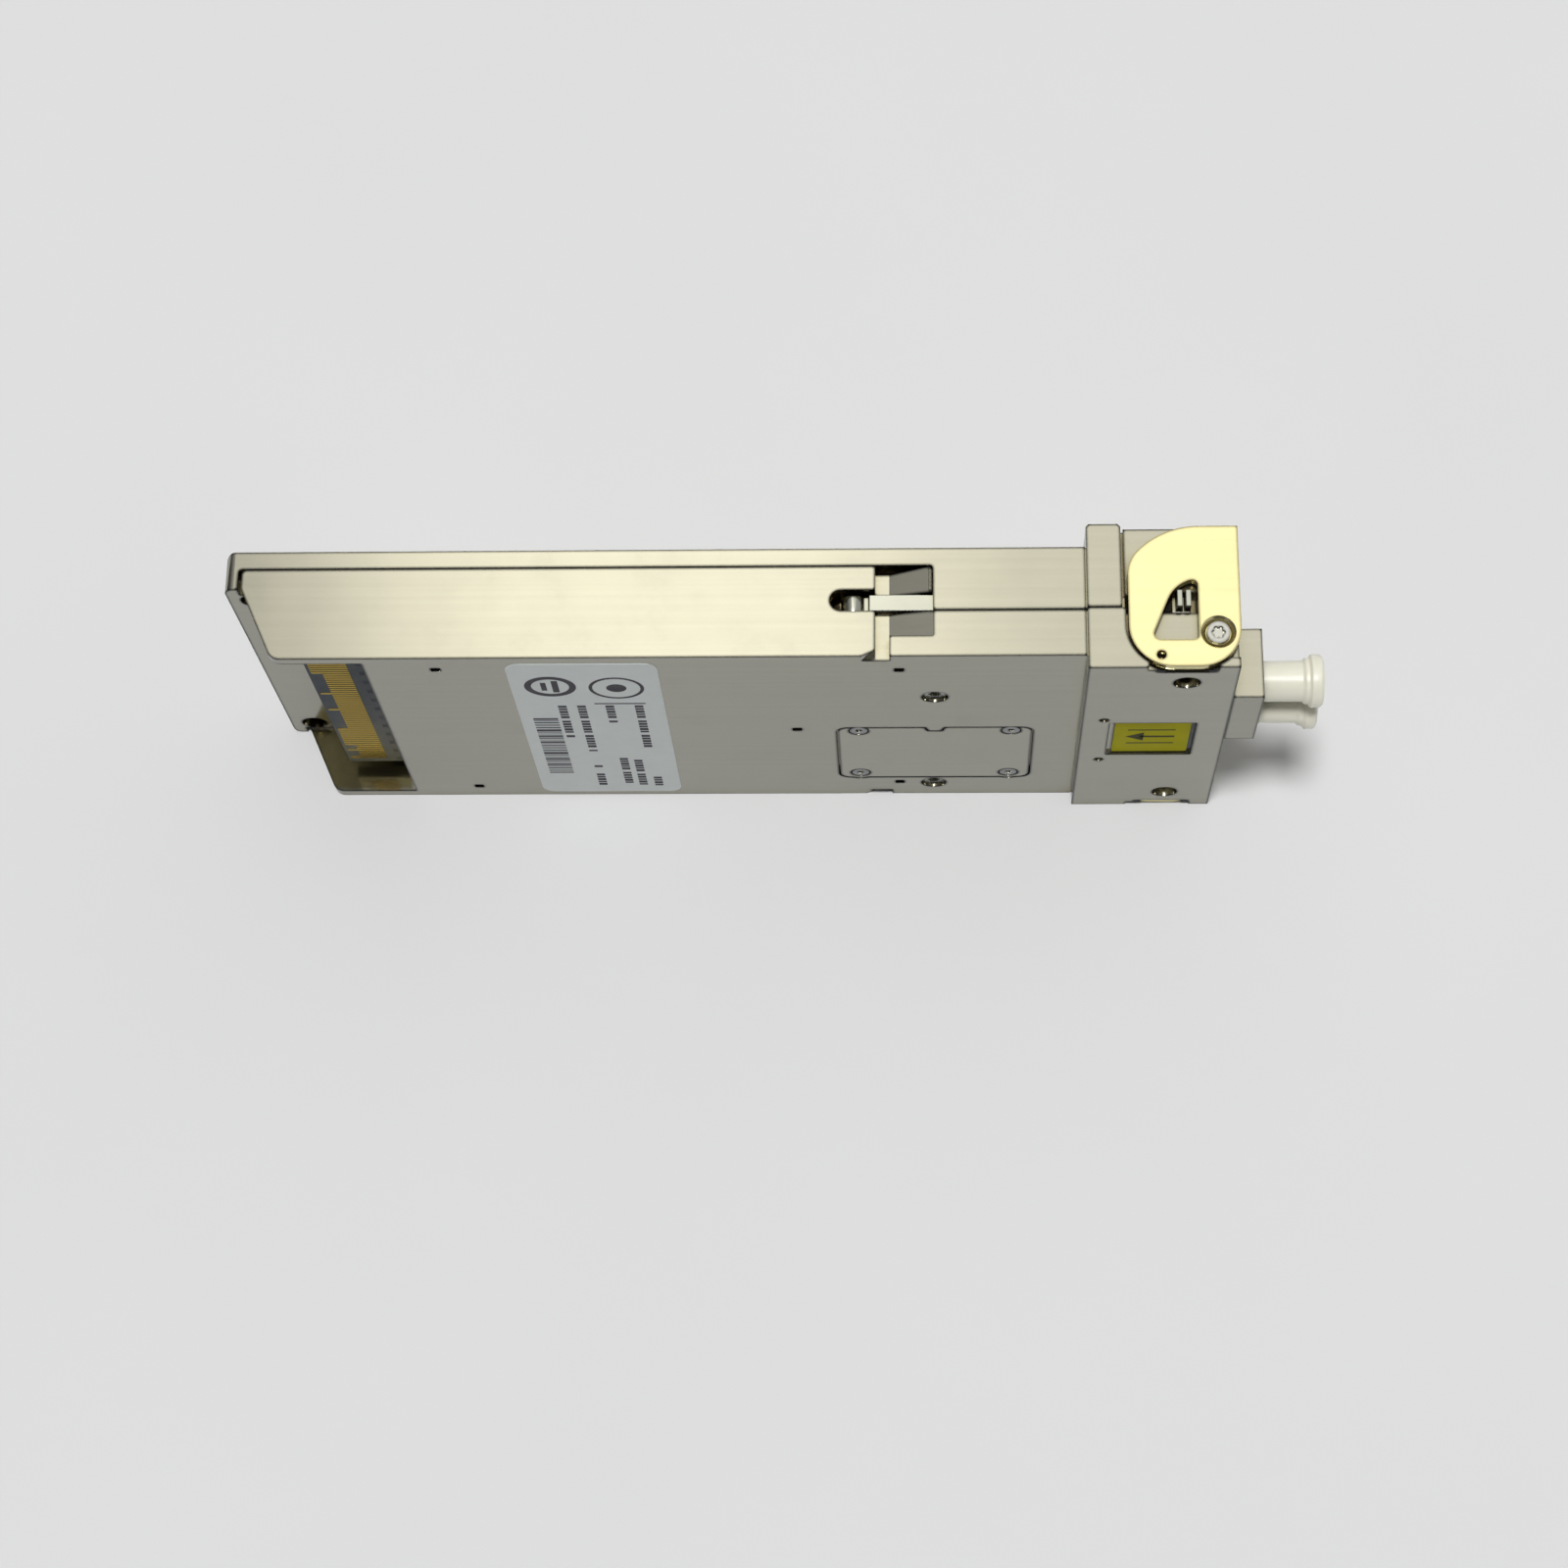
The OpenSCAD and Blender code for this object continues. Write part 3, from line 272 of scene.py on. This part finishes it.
NODE_MATERIALS = {
    "top_shell": nickel, "bottom_shell": nickel, "access_cover": cover_nickel,
    "access_cover_screws": steel, "shell_screws": steel, "nose_screws": steel,
    "main_label": label_paper, "nose_label": yellow_film, "bail": gold_plate,
    "pivot_screw_upper": steel, "pivot_screw_lower": steel,
    "slider_upper": slider_nickel, "slider_lower": slider_nickel,
    "lc_receptacle": receptacle_nickel, "receptacle_clip": steel, "port_gasket": rubber,
    "split_sleeves": ceramic, "ferrule_stubs": ceramic,
    "dust_plug_upper": plug, "dust_plug_lower": plug,
    "main_board": board, "contacts_label_side": contact_gold, "contacts_sink_side": contact_gold,
    "board_screws": steel, "signal_processor_base": package_green, "signal_processor_lid": lid_metal,
    "processor_pad": thermal_pad, "optics_package": package_gold, "optics_pad": thermal_pad,
    "laser_package": package_gold, "laser_pad": thermal_pad, "laser_flex": flex_amber,
    "flex_connector": connector_ivory, "power_inductors": inductor_grey, "power_chips": chip_black,
    "ceramic_capacitors": capacitor_tan, "controller_chip": chip_black,
    "reference_oscillator": lid_metal, "fibre_tray": tray_black, "transmit_fibre": fibre_yellow,
    "receive_fibre": fibre_yellow, "laser_fibre": fibre_yellow,
}


# ---------- rounded edges on the CAD nodes ----------

# Width of the rounded edge on each node, in millimetres; the others get the small one or none
EDGE = {
    "top_shell": 0.11, "bottom_shell": 0.11, "bail": 0.1, "lc_receptacle": 0.18,
    "slider_upper": 0.3, "slider_lower": 0.3, "access_cover": 0.08,
}
SMALL_EDGE = 0.04
NO_EDGE = ("contacts_label_side", "contacts_sink_side", "main_label", "nose_label",
           "transmit_fibre", "receive_fibre", "laser_fibre")
WELD_REACH = 2e-6
FLAT_ANGLE = math.radians(1)
SHARP_ANGLE = math.radians(35)


def soften(node, width):
    """Joins the node's split corners and flat faces, then rounds its sharp edges inwards."""
    weld = node.modifiers.new("weld", "WELD")
    weld.merge_threshold = WELD_REACH
    flat = node.modifiers.new("flat", "DECIMATE")
    flat.decimate_type = "DISSOLVE"
    flat.angle_limit = FLAT_ANGLE
    bevel = node.modifiers.new("bevel", "BEVEL")
    bevel.width = width * MM
    bevel.segments = 2
    bevel.limit_method = "ANGLE"
    bevel.angle_limit = SHARP_ANGLE


for name, node in nodes.items():
    node.data.materials.clear()
    node.data.materials.append(NODE_MATERIALS[name])
    if name not in NO_EDGE:
        soften(node, EDGE.get(name, SMALL_EDGE))


# ---------- print on the labels, and dark marks on the board ---

# All in millimetres
INK_DEPTH = 0.01
RING_WEDGES = 32
DISC_CORNERS = 24
DASH_HEIGHT = 0.95
DASH_LENGTHS = (0.62, 0.5, 0.7, 0.45, 0.66, 0.55)
DASH_GAP, WORD_GAP, DASHES_IN_WORD = 0.2, 0.75, 5
STRIPE_UNIT = 0.16
STRIPE_WIDTHS = (3, 1, 2, 1, 1, 2, 4, 1, 1, 3, 2, 1)
STRIPE_GAP, WIDE_STRIPE_GAP = 0.2, 0.34
MARK_COUNT, MARK_PITCH = 13, 2.6


def print_piece(name, corner, shapes, material, body):
    """Flat dark marks, such as ink, as one thin mesh. Each shape is a list of (x, z) millimetres from
    the low corner of the box that it lies on."""
    mesh = bmesh.new()
    y = corner.y - INK_DEPTH * MM
    for shape in shapes:
        ring = [mesh.verts.new((corner.x + x * MM, y, corner.z + z * MM)) for x, z in shape]
        face = mesh.faces.new(ring)
        back = bmesh.ops.extrude_face_region(mesh, geom=[face])["geom"]
        for vert in (v for v in back if isinstance(v, bmesh.types.BMVert)):
            vert.co.y = corner.y
    bmesh.ops.recalc_face_normals(mesh, faces=mesh.faces)
    data = bpy.data.meshes.new(name)
    mesh.to_mesh(data)
    mesh.free()
    data.materials.append(material)
    piece = bpy.data.objects.new(name, data)
    collection.objects.link(piece)
    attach(piece, body)


def bar(x0, x1, z0, z1):
    return [(x0, z0), (x1, z0), (x1, z1), (x0, z1)]


def ring_parts(cx, cz, outer, inner):
    """A ring as wedges, so that no face has a hole."""
    parts = []
    for i in range(RING_WEDGES):
        a, b = 2 * math.pi * i / RING_WEDGES, 2 * math.pi * (i + 1) / RING_WEDGES
        parts.append([(cx + r * math.cos(t), cz + r * math.sin(t))
                      for r, t in ((outer, a), (outer, b), (inner, b), (inner, a))])
    return parts


def disc(cx, cz, r):
    angles = [2 * math.pi * i / DISC_CORNERS for i in range(DISC_CORNERS)]
    return [(cx + r * math.cos(a), cz + r * math.sin(a)) for a in angles]


def dashes(x, z_high, z_low):
    """A row of small blocks that stands for a printed line, running down from z_high."""
    parts, z, i = [], z_high, 0
    while z - DASH_LENGTHS[i % len(DASH_LENGTHS)] > z_low:
        length = DASH_LENGTHS[i % len(DASH_LENGTHS)]
        parts.append(bar(x - DASH_HEIGHT / 2, x + DASH_HEIGHT / 2, z - length, z))
        z -= length + (WORD_GAP if i % DASHES_IN_WORD == DASHES_IN_WORD - 1 else DASH_GAP)
        i += 1
    return parts


def stripes(x0, x1, z_high, z_low):
    """Plain stripes of changing width, running down from z_high."""
    parts, z, i = [], z_high, 0
    while z - STRIPE_WIDTHS[i % len(STRIPE_WIDTHS)] * STRIPE_UNIT > z_low:
        thick = STRIPE_WIDTHS[i % len(STRIPE_WIDTHS)] * STRIPE_UNIT
        parts.append(bar(x0, x1, z - thick, z))
        z -= thick + (WIDE_STRIPE_GAP if i % 3 else STRIPE_GAP)
        i += 1
    return parts


# Two rings with a sign in each, a line, rows of blocks as (x, top, bottom), and stripes
main_print = ring_parts(4.3, 32.5, 2.8, 2.05) + [bar(3.3, 3.9, 31.4, 33.6), bar(4.5, 5.2, 30.9, 34.1)]
main_print += ring_parts(11.4, 32, 3.0, 2.6) + [disc(11.4, 32, 1.1), bar(8.6, 14.2, 27.4, 27.7)]
for row in ((5.0, 27.0, 16.9), (7.1, 27.0, 13.1), (10.2, 27.0, 21.4), (13.4, 27.0, 13.5),
            (7.2, 8.6, 7.5), (7.2, 5.9, 1.4), (10.3, 10.9, 1.6), (11.9, 10.3, 1.6), (13.7, 4.8, 1.6)):
    main_print += dashes(*row)
main_print += stripes(1.4, 4.15, 23.3, 6.2)
print_piece("main_label_print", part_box("main_label")[0], main_print, label_ink, "housing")

# An arrow between two lines
nose_print = [
    bar(2.9, 6.7, 4.25, 4.75), [(1.3, 4.5), (3.3, 5.7), (3.3, 3.3)],
    bar(1.5, 6.7, 6.3, 6.6), bar(1.5, 6.7, 2.4, 2.7),
]
print_piece("nose_label_print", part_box("nose_label")[0], nose_print, yellow_ink, "housing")

# A row of small dark blue marks on the board near the plate's edge
marks = [bar(5.65, 6.2, 2.6 + MARK_PITCH * i, 3.5 + MARK_PITCH * i) for i in range(MARK_COUNT)]
print_piece("board_marks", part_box("main_board")[0], marks, board_dark_mark, "housing")


# ---------- camera and floor ----------

CAMERA_PLACE = (0.015161, -0.133232, 0.343917)
CAMERA_AIM = (-0.04263, 0.34758, -0.93668)
CAMERA_UP = (0.00351, 0.93758, 0.34776)
FLOOR_SIZE = 14

cam_data = bpy.data.cameras.new("camera")
camera = bpy.data.objects.new("camera", cam_data)
collection.objects.link(camera)
cam_data.sensor_width = 36
cam_data.lens = 71.84
cam_data.clip_start, cam_data.clip_end = 0.01, 20
aim = Vector(CAMERA_AIM).normalized()
side = aim.cross(Vector(CAMERA_UP)).normalized()
turn = Matrix((side, side.cross(aim), -aim)).transposed().to_4x4()
camera.matrix_world = Matrix.Translation(CAMERA_PLACE) @ turn
bpy.context.scene.camera = camera

bpy.ops.mesh.primitive_plane_add(size=FLOOR_SIZE)
floor = bpy.context.object
floor.name = "floor"
floor.data.materials.append(solid("floor_paper", (0.765, 0.767, 0.77), 0.9, spread=0.012, scale=9,
                                  grain=1e-5, Specular_IOR_Level=0.15))


# ---------- light ----------

WARM = (1, 0.975, 0.84)
LIT_SKY = (1, 1, 1, 1)
SEEN_SKY = (0.78, 0.785, 0.79, 1)


def add_light(name, kind, watts, direction):
    data = bpy.data.lights.new(name, kind)
    data.energy = watts
    light = bpy.data.objects.new(name, data)
    collection.objects.link(light)
    light.rotation_mode = "QUATERNION"
    light.rotation_quaternion = direction.to_track_quat("-Z", "Y")
    return light


def reflected_panel(name, place, size, watts):
    """A soft warm rectangle that shows in reflections, and lights nothing else."""
    light = add_light(name, "AREA", watts, -Vector(place))
    light.location = place
    light.data.shape = "RECTANGLE"
    light.data.size, light.data.size_y = size
    light.data.color = WARM
    light.visible_diffuse = False


sun = add_light("key", "SUN", 2.25, Vector((0.06, 0.12, -1)))
sun.data.angle = math.radians(11)
reflected_panel("ceiling", (0.0525, 0.45, 1.05), (0.685, 0.7), 1.14)
reflected_panel("strip", (-0.105, 0.45, 1.0), (0.23, 0.7), 0.52)


def sky():
    """Pale where it is seen. For light it is grey, brighter upwards and in reflections, and dark
    behind the camera and to the rear."""
    world = bpy.data.worlds.new("sky")
    bpy.context.scene.world = world
    world.use_nodes = True
    tree = world.node_tree
    tree.nodes.clear()
    coords = tree.nodes.new("ShaderNodeTexCoord").outputs["Generated"]
    x, y, z = add_node(tree, "ShaderNodeSeparateXYZ", {"Vector": coords}).outputs
    path = tree.nodes.new("ShaderNodeLightPath").outputs

    def ranged(*numbers):
        return map_range(tree, *numbers, interpolation_type="SMOOTHSTEP")

    up = ranged(z, 0, 1, 0.34, 0.4)
    front = ranged(y, -0.4, 0.05, 0.12, 1)
    beside = ranged(calculate(tree, "MULTIPLY", x, x), 0.1, 0.3, 0, 0.9)
    rear = ranged(x, -0.95, -0.2, 0.15, 1)
    reflected = ranged(path["Is Glossy Ray"], 0, 1, 1, 1.6)
    strength = up
    for factor in (calculate(tree, "MAXIMUM", front, beside), rear, reflected):
        strength = calculate(tree, "MULTIPLY", strength, factor)
    lit = add_node(tree, "ShaderNodeBackground", {"Color": LIT_SKY, "Strength": strength})
    seen = add_node(tree, "ShaderNodeBackground", {"Color": SEEN_SKY})
    mix = add_node(tree, "ShaderNodeMixShader", {
        "Fac": path["Is Camera Ray"], 1: lit.outputs["Background"], 2: seen.outputs["Background"]})
    add_node(tree, "ShaderNodeOutputWorld", {"Surface": mix.outputs["Shader"]})


sky()
bpy.context.scene.view_settings.view_transform = "Standard"
